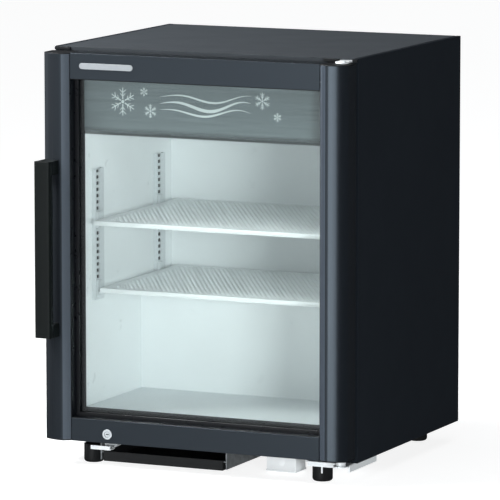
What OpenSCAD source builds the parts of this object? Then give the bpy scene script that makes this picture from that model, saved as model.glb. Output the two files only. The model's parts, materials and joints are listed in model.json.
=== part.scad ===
// Counter-top drinks cooler with one hinged glass door, as separate parts.
// Frame: X to the right seen from the front, Y to the back, Z up.
// The origin is on the floor, under the centre of the whole object's box.
// Inside place(), Y starts at the cabinet's front plane and Z at the cabinet's bottom edge.

/* [Cabinet] */
// Width of the cabinet and of the door
cabinet_w = 650; // [640:5:680]
// Depth of the cabinet without the door
cabinet_d = 522; // [516:2:540]
// Height of the cabinet above its feet
cabinet_h = 787; // [783:1:800]
// Height of the feet
foot_h = 40; // [38:1:50]
// Insulated side wall, sheet to inner face
side_wall = 40; // [38:1:42]
// Insulated floor
floor_wall = 61; // [60:1:64]
// Insulated ceiling
ceiling_wall = 52; // [50:1:54]
// Insulated back wall with its air space
back_wall = 77; // [74:1:80]

/* [Machine space] */
// Depth in the cabinet at which the inner floor steps up
step_y = 300; // [296:1:306]
// Height of the step's top face
step_z = 255; // [252:1:262]
// Insulation between the step and the machine space
step_wall = 25; // [20:1:28]

/* [Door] */
// Gap between the closed door and the cabinet, filled by the seal
door_gap = 9; // [8.5:0.5:10]
// Distance from the cabinet's front plane to the rails' front
door_front = 53.5; // [52:0.5:56]
// Height of the door's lower edge above the cabinet's bottom
door_bottom = 10; // [9:0.5:12]
// Height of the door's upper edge above the cabinet's bottom
door_top = 779.5; // [778.5:0.5:779.5]
// Width of an upright
post_w = 56.5; // [54:0.5:60]
// How far an upright's crest stands in front of the rails
crest_rise = 8.5; // [6:0.5:10]
// Height of the lower rail
rail_low_h = 45.5; // [44:0.5:50]
// Height of the upper rail
rail_high_h = 50.5; // [48:0.5:54]
// Width of the black border on the glass
border_w = 9.5; // [8:0.5:12]
// How far the trim behind the glass stands into the opening
trim_w = 12.5; // [11:0.5:16]
// Height of the printed header band
band_h = 112; // [100:1:120]
// Distance of the hinge axis from the door's side
hinge_in = 20; // [19:0.5:21]
// Distance of the hinge axis in front of the cabinet
hinge_out = 34; // [33.5:0.5:35]

/* [Handle] */
// How far the handle stands in front of the cabinet
handle_reach = 99; // [95:1:105]
// Width of the grip
handle_w = 35.5; // [32:0.5:38]
// Thickness of the grip
handle_t = 13; // [11:1:15]
// Length of the grip
handle_len = 350; // [320:5:380]
// Height of the grip's lower end
handle_z = 218; // [200:2:230]
// Height of a leg of the handle
leg_h = 27; // [24:1:32]

/* [Shelves] */
// Height of the lower shelf's top
shelf_low_z = 299; // [294:1:304]
// Height of the upper shelf's top
shelf_high_z = 437; // [430:1:444]
// Gap between a shelf's end and the side wall
shelf_gap = 23; // [21:1:26]

/* [Tray] */
// Width of the drip tray
tray_w = 260; // [250:2:262]
// Height of the drip tray
tray_h = 20; // [18:1:20]

/* [Hidden] */
$fn = 48;

// Places in the object's frame
front_y = (handle_reach - cabinet_d) / 2; // cabinet's front plane
half_w = cabinet_w / 2;

// Sheets and clearances
sheet = 1.5;
liner_t = 2;
gap = 0.1; // between neighbouring parts
running = 0.05; // radial clearance of a pin in its bore
seam = 1.6; // beside the top panel and at the rails' ends

// Cabinet
flange_x = half_w - 19; // inner edge of the side panels' front flanges
fold_x = half_w - 9; // inner edge of the side panels' top and rear flanges
inner_x = half_w - side_wall;
floor_z = floor_wall;
ceiling_z = cabinet_h - ceiling_wall;
back_y = cabinet_d - back_wall;
hem_z = cabinet_h - 9; // lower edge of the top panel's front hem
rear_y = cabinet_d - 3.5; // front of the rear panels
divider_y = step_y + liner_t + step_wall; // front of the machine space
divider_z = step_z - liner_t - step_wall; // top of the machine space
strip_d = 6; // depth of the front strips

// Hinges
hinge_x = half_w - hinge_in;
hinge_y = -hinge_out;
pin_r = 4;
plate_t = 3.5;
plate_z = cabinet_h - 6.2; // underside of the top hinge plate
plate_x = [hinge_x - 20, hinge_x + 10];
bracket_t = 3;

// Door
post_in = half_w - post_w; // inner edge of an upright
crest_x = post_in + 14;
crest_y = -door_front - crest_rise;
crest_drop = 13; // from the crest back to the upright's outer edge
crest_run = half_w - crest_x;
crest_r = (crest_run * crest_run + crest_drop * crest_drop) / (2 * crest_drop);
trim_t = 3; // inner trim
trim_y = -door_gap - trim_t; // back of the uprights and rails
glass_y = -29; // front of the outer pane
glass_t = 4;
pane_gap = 9;
border_t = 3.3;
pocket_y = glass_y - border_t - gap; // back of the frame's front lip
pocket_d = 11; // depth of the glass pocket
cap_t = 2;
wall_t = 2; // wall of the door's extrusions
rail_low_top = door_bottom + rail_low_h;
rail_high_low = door_top - rail_high_h;
glass_x = post_in + pocket_d - 1;
glass_z = [rail_low_top - pocket_d + 1, rail_high_low + pocket_d - 1];
border_x = post_in - border_w;
border_z = [rail_low_top + border_w, rail_high_low - 3];
trim_x = half_w - 1;
trim_in_x = post_in - trim_w;
trim_in_z = [rail_low_top + trim_w + 4, rail_high_low - 3];
seal_x = [inner_x + 2, hinge_x - 2];
seal_z = [38, hem_z - 20];

// Lock
lock_x = -188;
lock_z = door_bottom + 18;
cam_y = [-40, -37];
cam_len = 30;
cam_half = 6;
plug_r = 5.5;
barrel_r = 8;

// Shelves
shelf_x = inner_x - shelf_gap;
shelf_back = back_y - 20;
shelf_fronts = [65, 40]; // front edge of the lower and of the upper shelf
shelf_t = 1.2;
lip_front = 9;
lip_side = 10;
standard_y = [76, 360]; // front edges of the uprights on each wall
standard_w = 38;
standard_d = 9;
standard_z = [272, 535];
slot_pitch = 12.5;

// Evaporator under the ceiling, behind the header band
cover_x = 235;
cover_y = [72, 400];
cover_z = 642;
cold_fan = [0, 688]; // x and z of its axis
cold_fan_r = 36;

// Controls beside the lamp
control_x = [208, 276];
control_y = [26, 62];
control_z = 690;
knob = [226, 712]; // x and z of its axis
switch_x = 258;

// Machine space
condenser_x = [52, 262];
condenser_y = [340, 384];
condenser_z = [14, 204];
warm_fan = [157, 109]; // x and z of its axis
warm_fan_r = 72;
compressor_at = [-165, 424];
compressor_r = 78;
compressor_z = [18, 178];

// Feet
foot_x = half_w - 77;
foot_y = [8, cabinet_d - 32];
foot_r = 20;
foot_round = 6; // radius of its lower edge
foot_gap = 3.2; // free height between the foot and the base
stud_r = 4;
nut_r = 6.3;
nut_z = 12;

// Tray under the base
tray_x = -89 - tray_w / 2;
tray_y = [-8, 278];
tray_z = -35;
tray_wall = 1.8;

// Box of the supply wiring
box_x = [118.5, 181];
box_y = [30, 78];
box_z = -35;

module place() {
    translate([0, front_y, foot_h]) children();
}

// A block between two opposite corners
module slab(low, high) {
    translate(low) cube(high - low);
}

module rod_x(x, y, z, r) {
    translate([x[0], y, z]) rotate([0, 90, 0]) cylinder(h = x[1] - x[0], r = r);
}

module rod_y(x, y, z, r) {
    translate([x, y[0], z]) rotate([-90, 0, 0]) cylinder(h = y[1] - y[0], r = r);
}

module rod_z(x, y, z, r) {
    translate([x, y, z[0]]) cylinder(h = z[1] - z[0], r = r);
}

// A flat outline in Y and Z, drawn out along X
module along_x(x) {
    translate([x[0], 0, 0]) rotate([90, 0, 90]) linear_extrude(x[1] - x[0]) children();
}

module left_and_right() {
    children();
    mirror([1, 0, 0]) children();
}

// A rectangular ring in the XZ plane
module ring(outer_x, outer_z, inner_x, inner_z, y) {
    difference() {
        slab([-outer_x, y[0], outer_z[0]], [outer_x, y[1], outer_z[1]]);
        slab([-inner_x, y[0] - 1, inner_z[0]], [inner_x, y[1] + 1, inner_z[1]]);
    }
}

// ---- Cabinet ----

// The slot in the front flanges that the top hinge plate passes through
module plate_slot(x0, x1) {
    slab([x0, -1, plate_z - 0.4], [x1, sheet + 1, plate_z + plate_t + 0.4]);
}

module side_panel() {
    difference() {
        union() {
            slab([half_w - sheet, 0, 0], [half_w, cabinet_d, cabinet_h]);
            slab([flange_x, 0, 0], [half_w - 1, sheet, cabinet_h - sheet - gap]);
            slab([fold_x, cabinet_d - sheet, 0], [half_w - 1, cabinet_d, cabinet_h]);
            slab([fold_x, 0, cabinet_h - sheet], [half_w - 1, cabinet_d, cabinet_h]);
            slab([fold_x, 0, 0], [half_w - 1, cabinet_d, sheet]);
        }
        plate_slot(flange_x - 1, plate_x[1] + 0.4);
    }
}

module side_panel_left() {
    color("#16181c") place() mirror([1, 0, 0]) side_panel();
}

module side_panel_right() {
    color("#16181c") place() side_panel();
}

module top_panel() {
    edge = fold_x - seam;
    color("#2a2d32") place() difference() {
        union() {
            slab([-edge, 0, cabinet_h - sheet], [edge, cabinet_d - sheet - gap, cabinet_h]);
            slab([-edge, 0, hem_z], [edge, sheet, cabinet_h - 1]);
        }
        slab([-edge - 1, -1, hem_z - 1], [-flange_x, sheet + 1, cabinet_h - sheet]);
        slab([flange_x, -1, hem_z - 1], [edge + 1, sheet + 1, cabinet_h - sheet]);
        plate_slot(plate_x[0] - 0.4, edge + 1);
    }
}

module back_panel() {
    color("#3a3d42") place() difference() {
        slab([-fold_x, rear_y, divider_z + 8], [fold_x, rear_y + sheet, cabinet_h - sheet - gap]);
        for (x = [-240 : 160 : 240]) rod_y(x, [rear_y - 1, rear_y + 3], divider_z + 22, 2.1);
        for (x = [-240 : 160 : 240]) rod_y(x, [rear_y - 1, rear_y + 3], cabinet_h - 20, 2.1);
    }
}

module rear_grille() {
    slot_h = 5;
    color("#3a3d42") place() difference() {
        slab([-fold_x, rear_y, 2], [fold_x, rear_y + sheet, divider_z + 7]);
        for (z = [36 : 14 : 190]) {
            slab([52, rear_y - 1, z], [262, rear_y + 3, z + slot_h]);
            slab([-262, rear_y - 1, z], [-70, rear_y + 3, z + slot_h]);
        }
        for (x = [-290, 290]) rod_y(x, [rear_y - 1, rear_y + 3], 20, 2.1);
        for (x = [-290, 290]) rod_y(x, [rear_y - 1, rear_y + 3], divider_z - 10, 2.1);
        rod_y(0, [rear_y - 1, rear_y + 3], 60, 9);
    }
}

module cord_gland() {
    color("#101010") place() difference() {
        union() {
            rod_y(0, [rear_y - 6, cabinet_d], 60, 8.9);
            rod_y(0, [rear_y - 6, rear_y - gap], 60, 12);
        }
        rod_y(0, [rear_y - 7, cabinet_d + 1], 60, 4.5);
    }
}

module base_pan() {
    edge = fold_x - gap;
    color("#26292d") place() difference() {
        union() {
            slab([-edge, sheet + gap, 0], [edge, rear_y - gap, sheet]);
            for (x = [-foot_x, foot_x], y = foot_y) rod_z(x, y, [1, nut_z], nut_r);
        }
        for (x = [-foot_x, foot_x], y = foot_y) rod_z(x, y, [-1, nut_z + 1], stud_r + running);
        for (x = [70 : 24 : 262]) slab([x, 410, -1], [x + 8, 500, sheet + 1]);
    }
}

// Foam between the outer sheets and the inner panels, stepped over the machine space
module insulation() {
    side = half_w - sheet - gap;
    top = cabinet_h - sheet - gap;
    hollow = inner_x + liner_t;
    color("#e8d9a8") place() difference() {
        union() {
            slab([-side, strip_d + gap, sheet + gap], [side, divider_y - gap, top]);
            slab([-side, divider_y - 1, divider_z + 1 + gap], [side, rear_y - gap, top]);
        }
        slab([-hollow, -1, floor_z - liner_t], [hollow, step_y + liner_t, step_z]);
        slab([-hollow, -1, step_z - liner_t], [hollow, back_y + liner_t, ceiling_z + liner_t]);
        slab([plate_x[0] - 1, 0, plate_z - 6], [plate_x[1] + 1, 46, cabinet_h]);
        for (x = [-foot_x, foot_x]) rod_z(x, foot_y[0], [0, nut_z + 16], nut_r + 1);
    }
}

module liner_sides() {
    outer = inner_x + liner_t - gap;
    rear = back_y + liner_t - gap;
    low = floor_z - liner_t;
    color("white") place() left_and_right() difference() {
        slab([inner_x, strip_d + gap, low], [outer, rear, ceiling_z + liner_t - gap]);
        slab([inner_x - 1, step_y + liner_t, low - 1], [outer + 1, rear + 1, step_z - liner_t]);
    }
}

module liner_ceiling() {
    edge = inner_x - gap;
    color("white") place()
        slab([-edge, strip_d + gap, ceiling_z], [edge, back_y - gap, ceiling_z + liner_t - gap]);
}

module liner_floor() {
    edge = inner_x - gap;
    low = floor_z - liner_t + gap;
    color("gainsboro") place() slab([-edge, strip_d + gap, low], [edge, step_y - gap, floor_z]);
}

module liner_back() {
    edge = inner_x - gap;
    rear = back_y + liner_t - gap;
    color("white") place()
        slab([-edge, back_y, step_z + gap], [edge, rear, ceiling_z + liner_t - gap]);
}

module liner_step() {
    edge = inner_x - gap;
    color("white") place() {
        slab([-edge, step_y, floor_z - liner_t + gap], [edge, step_y + liner_t - gap, step_z]);
        slab([-edge, step_y + 1, step_z - liner_t + gap], [edge, back_y + liner_t - gap, step_z]);
    }
}

module breaker_frame() {
    edge = flange_x - gap;
    color("#1c1e22") place() {
        left_and_right() slab([inner_x, 0.2, sheet + gap], [edge, strip_d, hem_z - gap]);
        slab([-inner_x + gap, 0.2, ceiling_z], [inner_x - gap, strip_d, hem_z - gap]);
        difference() {
            slab([-inner_x + gap, 0.2, sheet + gap], [inner_x - gap, strip_d, floor_z]);
            for (x = [-foot_x, foot_x]) rod_z(x, foot_y[0], [0, nut_z + 8], nut_r + 0.5);
        }
    }
}

module machine_divider() {
    edge = half_w - sheet - 0.5;
    color("silver") place() {
        slab([-edge, divider_y, sheet + gap], [edge, divider_y + 1, divider_z + 1]);
        slab([-edge, divider_y + 0.5, divider_z], [edge, rear_y - gap, divider_z + 1]);
    }
}

// A slotted upright on a side wall
module shelf_standard(y) {
    low = standard_z[0];
    high = standard_z[1];
    face = inner_x - standard_d;
    slots = floor((high - low - 12) / slot_pitch);
    difference() {
        slab([face, y, low], [inner_x - gap, y + standard_w, high]);
        slab([face + sheet, y + sheet, low - 1], [inner_x + 1, y + standard_w - sheet, high + 1]);
        for (n = [0 : slots]) translate([0, 0, low + 6 + n * slot_pitch])
            slab([face - 1, y + 4, 0], [face + 2, y + 16, 7]);
    }
}

module shelf_standards() {
    color("#d5d8da") place() left_and_right() for (y = standard_y) shelf_standard(y);
}

// Clips on the uprights' faces, each with a ledge under a shelf's side lip
module shelf_clips() {
    face = inner_x - standard_d - gap;
    color("#e4e6e8") place() left_and_right()
        for (z = [shelf_low_z, shelf_high_z], y = standard_y) {
            slab([face - 5, y + 2, z - 20], [face, y + 19, z + 13]);
            slab([face - 16, y + 2, z - lip_side - 3.2], [face - 4, y + 19, z - lip_side - 0.2]);
        }
}

// White pressed shelf with turned-down edges; z is its top
module shelf(front, z) {
    deck_z = z - shelf_t;
    slab([-shelf_x, front, deck_z], [shelf_x, shelf_back, z]);
    slab([-shelf_x, front, z - lip_front], [shelf_x, front + 3, deck_z + 0.5]);
    slab([-shelf_x, shelf_back - shelf_t, z - lip_side], [shelf_x, shelf_back, deck_z + 0.5]);
    for (x = [-shelf_x, shelf_x - shelf_t])
        slab([x, front + 1, z - lip_side], [x + shelf_t, shelf_back - 0.5, deck_z + 0.5]);
}

module shelf_upper() {
    color("white") place() shelf(shelf_fronts[1], shelf_high_z);
}

module shelf_lower() {
    color("white") place() shelf(shelf_fronts[0], shelf_low_z);
}

// ---- Lamp and controls ----

// Lamp channel with the control box at its right end
module light_housing() {
    top = ceiling_z - gap;
    face = control_y[0];
    color("white") place() {
        difference() {
            slab([-204, 10, ceiling_z - 26], [204, 44, top]);
            slab([-200, 13, ceiling_z - 27], [200, 41, ceiling_z - 8]);
        }
        difference() {
            slab([control_x[0], face, control_z], [control_x[1], control_y[1], top]);
            rod_y(knob[0], [face - 1, control_y[1] - 6], knob[1], 3 + running);
            slab([switch_x - 7.2, face - 1, knob[1] - 11.2], [switch_x + 7.2, face + 14, knob[1] + 11.2]);
        }
    }
}

module light_lens() {
    color("#f4f8ff", 0.8) place() intersection() {
        rod_x([-199.8, 199.8], 27, ceiling_z - 8, 20);
        slab([-199.8, 13.2, ceiling_z - 30], [199.8, 40.8, ceiling_z - 20]);
    }
}

module thermostat_knob() {
    face = control_y[0] - gap;
    color("#3c3f44") place() difference() {
        union() {
            rod_y(knob[0], [face - 10, face - 0.3], knob[1], 14);
            rod_y(knob[0], [face - 14, face - 9], knob[1], 11);
            rod_y(knob[0], [face - 1, control_y[0] + 24], knob[1], 3);
        }
        slab([knob[0] - 1, face - 15, knob[1] + 3], [knob[0] + 1, face - 12.5, knob[1] + 12]);
    }
}

module light_switch() {
    color("#d8dadc") place() translate([switch_x, control_y[0] + 6, knob[1]]) rotate([12, 0, 0]) {
        slab([-6.8, -7, -8.6], [6.8, 3, 8.6]);
        rod_x([-7.1, 7.1], 0, 0, 1.5);
    }
}

// ---- Evaporator ----

module evaporator_cover() {
    top = ceiling_z - gap;
    color("#eceeef") place() difference() {
        slab([-cover_x, cover_y[0], cover_z], [cover_x, cover_y[1], top]);
        slab([-cover_x + 2, cover_y[0] + 2, cover_z + 2], [cover_x - 2, cover_y[1] - 2, top + 1]);
        rod_y(cold_fan[0], [cover_y[0] - 1, cover_y[0] + 3], cold_fan[1], cold_fan_r + 3);
        for (x = [70 : 14 : 210]) left_and_right()
            slab([x - 3, cover_y[0] - 1, cover_z + 18], [x + 3, cover_y[0] + 3, top - 18]);
        for (x = [-210 : 20 : 200])
            slab([x, cover_y[1] - 3, cover_z + 14], [x + 10, cover_y[1] + 1, top - 14]);
    }
}

module evaporator_coil() {
    low = cover_z + 8;
    high = ceiling_z - 12;
    color("#b9bec2") place() {
        difference() {
            slab([-180, 180, low], [180, 300, high]);
            for (x = [-172 : 16 : 172]) slab([x - 3, 179, low - 1], [x + 3, 301, low + 20]);
        }
        for (y = [207.5, 237.5, 267.5]) left_and_right()
            translate([180, y, high - 20]) rotate([0, 0, -90])
                rotate_extrude(angle = 180) translate([7.5, 0]) circle(r = 4);
    }
}

// A fan with pitched blades around a hub; its axis is Y
module fan(at, y, r, blades, pitch) {
    hub = r * 0.28;
    mid = (y[0] + y[1]) / 2;
    translate([at[0], 0, at[1]]) difference() {
        union() {
            rod_y(0, y, 0, hub);
            for (n = [0 : blades - 1]) rotate([0, n * 360 / blades, 0]) intersection() {
                translate([0, mid, 0]) rotate([0, 0, pitch])
                    slab([-r * 0.42, -0.8, hub * 0.6], [r * 0.42, 0.8, r + 2]);
                rod_y(0, y, 0, r);
            }
        }
        rod_y(0, [mid, y[1] + 1], 0, 2.5 + running);
    }
}

module evaporator_fan() {
    color("#2f3236") place() fan(cold_fan, [cover_y[0] + 4, cover_y[0] + 22], cold_fan_r, 5, 28);
}

module condenser_fan() {
    color("#2f3236") place() fan(warm_fan, [condenser_y[1] + 14, condenser_y[1] + 42], warm_fan_r, 5, 28);
}

// Both fans' motors, each with its shaft and a bridge that carries it
module fan_motors() {
    cold_y = cover_y[0] + 26;
    warm_y = condenser_y[1] + 46;
    color("#4a4d52") place() {
        rod_y(cold_fan[0], [cold_y, cold_y + 34], cold_fan[1], 20);
        rod_y(cold_fan[0], [cold_y - 12, cold_y + 1], cold_fan[1], 2.5);
        slab([-6, cold_y + 10, cover_z + 2 + gap], [6, cold_y + 24, cold_fan[1]]);
        rod_y(warm_fan[0], [warm_y, warm_y + 40], warm_fan[1], 32);
        rod_y(warm_fan[0], [warm_y - 17, warm_y + 1], warm_fan[1], 2.5);
        slab([warm_fan[0] - 12, warm_y + 8, sheet + gap], [warm_fan[0] + 12, warm_y + 30, warm_fan[1]]);
    }
}

// ---- Machine space ----

module compressor() {
    x = compressor_at[0];
    y = compressor_at[1];
    dome_r = 110;
    color("#1d1f22") place() {
        intersection() {
            rod_z(x, y, compressor_z, compressor_r);
            translate([x, y, compressor_z[0] + dome_r]) sphere(r = dome_r);
            translate([x, y, compressor_z[1] - dome_r]) sphere(r = dome_r);
        }
        rod_z(x, y, [94, 98], compressor_r + 2.5);
        slab([x - 100, y - 60, 13], [x + 100, y + 60, 22]);
        slab([x + 60, y - 24, 70], [x + 96, y + 24, 126]);
        for (i = [-88, 88], j = [-48, 48]) rod_z(x + i, y + j, [sheet + gap, 14], 10);
    }
}

module condenser_coil() {
    x = condenser_x;
    y = condenser_y;
    z = condenser_z;
    color("#8f9498") place() {
        difference() {
            slab([x[0], y[0], z[0]], [x[1], y[1], z[1]]);
            for (at = [x[0] + 8 : 10 : x[1] - 8])
                slab([at, y[1] - 16, z[0] + 6], [at + 5, y[1] + 1, z[1] - 6]);
        }
        for (at = [x[0] + 4, x[1] - 12])
            slab([at, y[0] + 6, sheet + gap], [at + 8, y[0] + 30, z[0] + 1]);
    }
}

module condenser_shroud() {
    face = condenser_y[1] + gap;
    color("#5a5e63") place() difference() {
        union() {
            slab(
                [condenser_x[0] - 4, face, condenser_z[0] - 4],
                [condenser_x[1] + 4, face + 2, condenser_z[1] + 4]
            );
            rod_y(warm_fan[0], [face + 1, face + 30], warm_fan[1], warm_fan_r + 7);
        }
        rod_y(warm_fan[0], [face - 1, face + 31], warm_fan[1], warm_fan_r + 5);
    }
}

// A quarter bend of a tube; it runs from the turned X axis to the turned Y axis
module elbow(centre, turn, bend, r) {
    translate(centre) rotate(turn) rotate_extrude(angle = 90) translate([bend, 0]) circle(r = r);
}

// Copper lines from the compressor to the condenser and the evaporator, with the filter drier
module refrigerant_lines() {
    x = compressor_at[0];
    y = compressor_at[1];
    r = 4;
    thin = 3;
    bend = 14;
    run_z = 214;
    side_x = condenser_x[0] - 10;
    drier_x = 20;
    drier_y = condenser_y[0] + 12;
    color("#b87333") place() {
        rod_z(x + 20, y - 20, [compressor_z[1] - 2.4, run_z - bend], r);
        elbow([x + 20 + bend, y - 20, run_z - bend], [90, 0, 180], bend, r);
        rod_x([x + 20 + bend, side_x - bend], y - 20, run_z, r);
        elbow([side_x - bend, y - 20 - bend, run_z], [0, 0, 0], bend, r);
        rod_y(side_x, [y - 40, y - 20 - bend], run_z, r);
        elbow([side_x, y - 40, run_z - bend], [90, 0, -90], bend, r);
        rod_z(side_x, y - 40 - bend, [150, run_z - bend], r);
        rod_x([side_x, condenser_x[0] - gap], y - 40 - bend, 152, r - 1);
        rod_x([drier_x + bend, condenser_x[0] - gap], drier_y, 30, thin);
        elbow([drier_x + bend, drier_y, 30 + bend], [-90, 0, 180], bend, thin);
        rod_z(drier_x, drier_y, [30 + bend, 180], thin);
        rod_z(drier_x, drier_y, [64, 150], 9);
        rod_z(x - 60, y - 40, [compressor_z[1] - 23, run_z - bend], r);
        elbow([x - 60, y - 40 - bend, run_z - bend], [90, 0, 90], bend, r);
        rod_y(x - 60, [divider_y + 1 + gap, y - 40 - bend], run_z, r);
    }
}

// ---- Under the cabinet ----

module drip_tray() {
    x0 = tray_x;
    x1 = tray_x + tray_w;
    top = tray_z + tray_h;
    color("#1b1c1e") place() difference() {
        union() {
            slab([x0, tray_y[0], tray_z], [x1, tray_y[1], top]);
            slab([x0 - 5, tray_y[0] + 4, top - sheet], [x1 + 5, tray_y[1], top]);
        }
        slab(
            [x0 + tray_wall, tray_y[0] + tray_wall, tray_z + tray_wall],
            [x1 - tray_wall, tray_y[1] - tray_wall, top + 1]
        );
    }
}

// Angles under the base that carry the tray's side lips
module tray_rails() {
    middle = tray_x + tray_w / 2;
    ledge_z = tray_z + tray_h - sheet - 0.4;
    inside = tray_w / 2 + 1.2;
    outside = tray_w / 2 + 7.5;
    color("#c3c8cb") place() translate([middle, 0, 0]) left_and_right() {
        slab([outside - sheet, tray_y[0] + 2, tray_z + 2], [outside, tray_y[1] + 4, -gap]);
        slab([inside, tray_y[0] + 2, ledge_z - sheet], [outside - 1, tray_y[1] + 4, ledge_z]);
        slab([outside - 1, tray_y[0] + 12, -sheet - gap], [outside + 8, tray_y[1] - 6, -gap]);
    }
}

// Box with a lid on four screws
module wiring_box() {
    color("#eef0f0") place() difference() {
        union() {
            slab([box_x[0], box_y[0], box_z + 2], [box_x[1], box_y[1], -gap]);
            slab([box_x[0] - 1.2, box_y[0] - 1.2, box_z], [box_x[1] + 1.2, box_y[1] + 1.2, box_z + 3]);
        }
        slab([box_x[0] + 2, box_y[0] + 2, box_z + 4], [box_x[1] - 2, box_y[1] - 2, -3]);
        for (x = [box_x[0] + 6, box_x[1] - 6], y = [box_y[0] + 6, box_y[1] - 6])
            rod_z(x, y, [box_z - 1, box_z + 1.2], 2.4);
    }
}

module foot() {
    flat_r = foot_r - foot_round;
    color("#17181a") rotate_extrude() {
        translate([0, -foot_h]) square([flat_r, foot_h - foot_gap]);
        translate([flat_r - 1, foot_round - foot_h])
            square([foot_round + 1, foot_h - foot_round - foot_gap]);
        translate([flat_r, foot_round - foot_h]) circle(r = foot_round);
        translate([0, -foot_gap - 1]) square([stud_r, foot_gap + nut_z + 7]);
    }
}

module foot_front_left() {
    place() translate([-foot_x, foot_y[0], 0]) foot();
}

module foot_front_right() {
    place() translate([foot_x, foot_y[0], 0]) foot();
}

module foot_rear_left() {
    place() translate([-foot_x, foot_y[1], 0]) foot();
}

module foot_rear_right() {
    place() translate([foot_x, foot_y[1], 0]) foot();
}

// ---- Hinges, keeper and screws ----

module top_hinge_plate() {
    z = [plate_z, plate_z + plate_t];
    ear = 13;
    color("#d9dcdf") place() {
        slab([hinge_x - ear, hinge_y, z[0]], [plate_x[1], 3, z[1]]);
        slab([plate_x[0], 2, z[0]], [plate_x[1], 44, z[1]]);
        rod_z(hinge_x, hinge_y, z, ear);
        rod_z(hinge_x, hinge_y, [door_top - 18, cabinet_h - 1], pin_r);
        rod_z(hinge_x, hinge_y, [z[1] - 0.5, z[1] + 1.6], pin_r + 2.5);
    }
}

// Plastic covers beside the hinge plate, and one over the unused hinge place
module top_hinge_cover() {
    z = [door_top + 0.8, cabinet_h - 1];
    color("#141517") place() {
        slab([hinge_x - 52, -6, z[0]], [hinge_x - 21, -gap, z[1]]);
        slab([hinge_x + 10.6, -8, z[0]], [half_w - 0.6, -gap, z[1]]);
        slab([-half_w + 0.6, -5, z[0]], [-half_w + 34, -gap, z[1]]);
    }
}

module bottom_hinge_bracket() {
    ear = 15;
    tab_x = foot_x + 8;
    lip_x = [foot_x - 22, hinge_x - 21.5];
    lip_y = foot_y[0] - foot_r - 2.7;
    z = [-bracket_t, -gap];
    color("#c9cdd0") place() difference() {
        union() {
            slab([foot_x - 29, -8, z[0]], [hinge_x + 1.5, 139, z[1]]);
            slab([hinge_x - ear, hinge_y, z[0]], [hinge_x + ear - 2, 6, z[1]]);
            slab([hinge_x - 1.5, 5, -20], [hinge_x + 1.5, 139, z[1]]);
            slab([lip_x[0], lip_y, z[0]], [lip_x[1], -7, z[1]]);
            slab([lip_x[0], lip_y, -9.5], [lip_x[1], lip_y + 2, z[1]]);
            slab([tab_x - 1.5, lip_y, -22], [tab_x + 1.5, lip_y + 2, -9]);
            rod_z(hinge_x, hinge_y, z, ear);
            rod_z(hinge_x, hinge_y, [-1, door_bottom + 16], pin_r);
            rod_z(hinge_x, hinge_y, [-1, door_bottom - 0.3], 9);
        }
        rod_z(foot_x, foot_y[0], [-4, 1], stud_r + 1);
    }
}

// Strike plate with a lip that the lock's cam drops behind
module lock_keeper() {
    lip_y = cam_y[0] - 4;
    x = [lock_x - 42, lock_x + 1];
    color("#cfd3d6") place() {
        slab([x[0], lip_y, -6], [x[1], lip_y + 2, 2]);
        slab([x[0], lip_y, -6], [x[1], -24, -4]);
        slab([x[0] + 8, -25, -6], [x[1] - 8, 22, -4]);
        slab([x[0] + 8, 3, -5], [x[1] - 8, 22, -gap]);
    }
}

module screw_rear(x, z) {
    rod_y(x, [rear_y, rear_y + sheet + 0.2], z, 2);
    rod_y(x, [rear_y + sheet + gap, rear_y + sheet + 1.7], z, 4);
}

// Screw heads on the rear panels and under the hinge bracket
module panel_screws() {
    color("#9a9ea2") place() {
        for (x = [-240 : 160 : 240], z = [divider_z + 22, cabinet_h - 20]) screw_rear(x, z);
        for (x = [-290, 290], z = [20, divider_z - 10]) screw_rear(x, z);
        for (at = [[foot_x - 12, 60], [foot_x - 12, 120], [foot_x + 34, 120]])
            rod_z(at[0], at[1], [-bracket_t - 2, -bracket_t], 4);
    }
}

// ---- Door ----

// Outline of the right upright's end cap, seen from above
module cap_outline() {
    polygon([[post_in, -door_front], [crest_x, crest_y], [crest_x + 5, crest_y + 1],
        [crest_x + 5, trim_y], [post_in, trim_y]]);
    intersection() {
        translate([crest_x, crest_y]) square([crest_run, trim_y - crest_y]);
        translate([crest_x, crest_y + crest_r]) circle(r = crest_r, $fn = 180);
    }
}

// Outline of the right upright with its glass pocket
module post_outline() {
    difference() {
        cap_outline();
        translate([post_in - 1, pocket_y]) square([pocket_d + 1, trim_y - pocket_y + 1]);
    }
}

// The hollow inside the right upright
module post_hollow() {
    low_x = post_in + pocket_d + wall_t;
    intersection() {
        translate([low_x, crest_y]) square([half_w - wall_t - low_x, trim_y - wall_t - crest_y]);
        translate([crest_x, crest_y + crest_r]) circle(r = crest_r - wall_t - 0.5, $fn = 180);
    }
}

module post() {
    length = door_top - door_bottom - 2 * cap_t;
    translate([0, 0, door_bottom + cap_t]) linear_extrude(length) difference() {
        post_outline();
        post_hollow();
    }
}

leg_z = [handle_z, handle_z + handle_len - leg_h];
grip_x = -half_w + handle_w / 2;
leg_stud_r = 3;

module door_post_left() {
    color("#30353b") place() difference() {
        mirror([1, 0, 0]) post();
        for (z = leg_z) rod_y(grip_x, [crest_y - 5, crest_y + 20], z + leg_h / 2, leg_stud_r + 0.1);
    }
}

module door_post_right() {
    color("#30353b") place() post();
}

module door_rail_top() {
    low = rail_high_low;
    pocket_top = low + pocket_d;
    edge = post_in - seam;
    color("#30353b") place() along_x([-edge, edge]) difference() {
        polygon([[-door_front, low], [pocket_y, low], [pocket_y, pocket_top],
            [trim_y, pocket_top], [trim_y, door_top], [-door_front, door_top]]);
        polygon([[-door_front + wall_t, low + wall_t], [pocket_y - wall_t, low + wall_t],
            [pocket_y - wall_t, pocket_top + wall_t], [trim_y - wall_t, pocket_top + wall_t],
            [trim_y - wall_t, door_top - wall_t], [-door_front + wall_t, door_top - wall_t]]);
    }
}

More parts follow.
